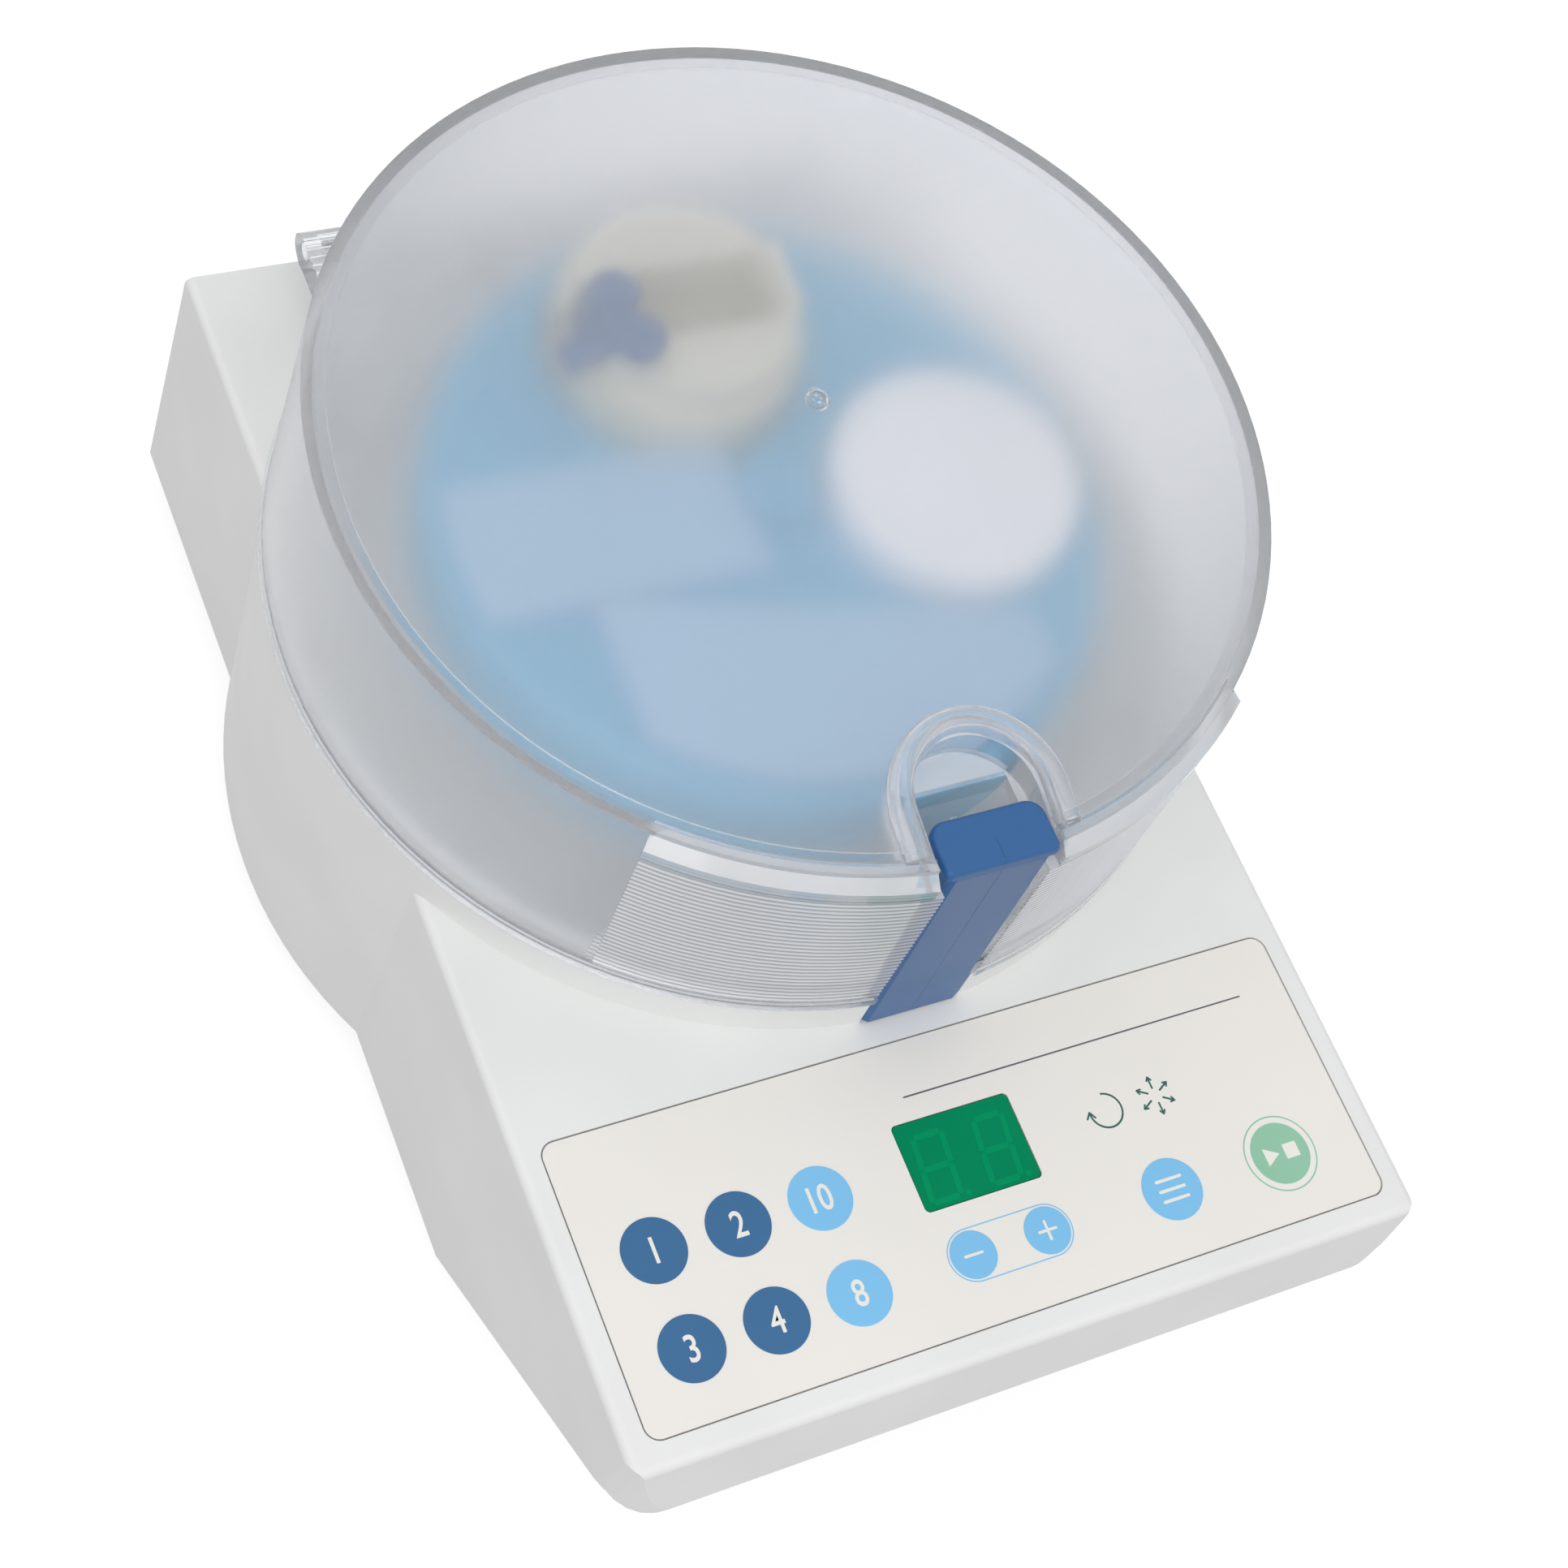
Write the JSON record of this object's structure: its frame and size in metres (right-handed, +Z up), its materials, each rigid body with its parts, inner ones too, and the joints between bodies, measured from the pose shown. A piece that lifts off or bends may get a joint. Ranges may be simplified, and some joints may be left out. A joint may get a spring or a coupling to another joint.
{
  "type": "dental capsule mixer",
  "caption": "Bench-top dental amalgamator with a hinged frosted lid over a rotary mixing chamber, a blue lid latch, a sloping control panel and a rear power inlet.",
  "frame": {"origin": "middle of the bounding box's underside, on the surface that the rubber feet stand on", "axes": "+Z up; -Y towards the user and the control panel, +Y towards the hinge and the power inlet; +X to the user's right"},
  "size_m": [0.2056, 0.2904, 0.1556],
  "materials": {
    "housing_white": "fine texture, satin",
    "film_cream": "printed satin film",
    "display_green": "tinted window, gloss",
    "display_dark": "gloss",
    "lid_frosted": "frosted, translucent",
    "latch_blue": "fine grain",
    "rotor_blue": "satin",
    "plate_lilac": "satin",
    "cap_white": "gloss",
    "holder_ivory": "satin",
    "clamp_dark": "gloss",
    "rubber_dark": "matt",
    "steel": "bright",
    "brass": "polished",
    "bearing_steel": "polished",
    "weight_iron": "machined",
    "aluminium": "turned",
    "motor_grey": "satin",
    "copper_coil": "varnished winding",
    "board_green": "solder mask",
    "membrane_grey": "satin",
    "component_navy": "gloss",
    "black_plastic": "fine texture"
  },
  "bodies": {
    "housing": {"housing_shell": "housing_white", "base_pan": "housing_white", "rubber_feet": "rubber_dark", "base_screws": "steel", "control_film": "film_cream", "keypad_membrane": "membrane_grey", "snap_domes": "steel", "display_window": "display_green", "display_module": "display_dark", "control_board": "board_green", "board_screws": "steel", "chamber_tub": "housing_white", "tub_screws": "steel", "lid_gasket": "rubber_dark", "drive_motor": "motor_grey", "motor_plate": "aluminium", "motor_isolators": "rubber_dark", "motor_screws": "steel", "sun_pulley": "aluminium", "shaft_bearing": "bearing_steel", "hinge_brackets": "housing_white", "hinge_pin": "steel", "latch_keeper": "steel", "lid_switch": "black_plastic", "lock_solenoid": "copper_coil", "power_inlet": "black_plastic", "inlet_pins": "brass", "switch_frame": "black_plastic", "power_board": "board_green", "power_parts": "component_navy", "mains_transformer": "motor_grey"},
    "lid": {"lid_shell": "lid_frosted", "latch_pin": "steel", "latch_spring": "steel"},
    "latch": {"latch_lever": "latch_blue"},
    "bolt": {"lock_bolt": "steel"},
    "rotor": {"motor_shaft": "steel", "carrier_plate": "aluminium", "rotor_cover": "rotor_blue", "balance_plates": "plate_lilac", "counterweight_cap": "cap_white", "counterweight": "weight_iron", "hub_nut": "steel", "planet_bearing": "bearing_steel", "drive_belt": "rubber_dark"},
    "holder": {"capsule_holder": "holder_ivory", "planet_shaft": "steel", "planet_pulley": "aluminium", "clamp_pin": "steel"},
    "clamp": {"clamp_lever": "clamp_dark"},
    "rocker": {"power_rocker": "black_plastic"},
    "fuse": {"fuse_drawer": "black_plastic"}
  },
  "joints": [
    {"name": "lid_hinge", "type": "hinge", "parent": "housing", "child": "lid", "pos_m": [0, 0.13825, 0.0854], "axis": [-1, 0, 0], "range_deg": [0, 80]},
    {"name": "latch_pivot", "type": "hinge", "parent": "lid", "child": "latch", "pos_m": [0, -0.0615, 0.1104], "axis": [1, 0, 0], "range_deg": [0, 6], "stiffness_Nm_per_rad": 0.3, "deforming": ["latch_spring"]},
    {"name": "lock_slide", "type": "slide", "parent": "housing", "child": "bolt", "axis": [-1, 0, 0], "range_m": [0, 0.005], "stiffness_N_per_m": 100},
    {"name": "rotor_spin", "type": "hinge", "parent": "housing", "child": "rotor", "pos_m": [0, 0.03255, 0.104], "axis": [0, 0, 1], "continuous": true},
    {"name": "holder_spin", "type": "hinge", "parent": "rotor", "child": "holder", "pos_m": [-0.00751, 0.07306, 0.104], "axis": [0, 0, 1], "continuous": true},
    {"name": "clamp_hinge", "type": "hinge", "parent": "holder", "child": "clamp", "pos_m": [-0.02601, 0.07306, 0.1254], "axis": [0, -1, 0], "range_deg": [0, 50]},
    {"name": "rocker_tip", "type": "hinge", "parent": "housing", "child": "rocker", "pos_m": [0.008, 0.13394, 0.037], "axis": [-1, 0, 0], "range_deg": [0, 18]},
    {"name": "fuse_slide", "type": "slide", "parent": "housing", "child": "fuse", "axis": [0, 1, 0], "range_m": [0, 0.018]}
  ],
  "couplings": [
    {"joint": "holder_spin", "follows": "rotor_spin", "ratio": -1.3333}
  ]
}
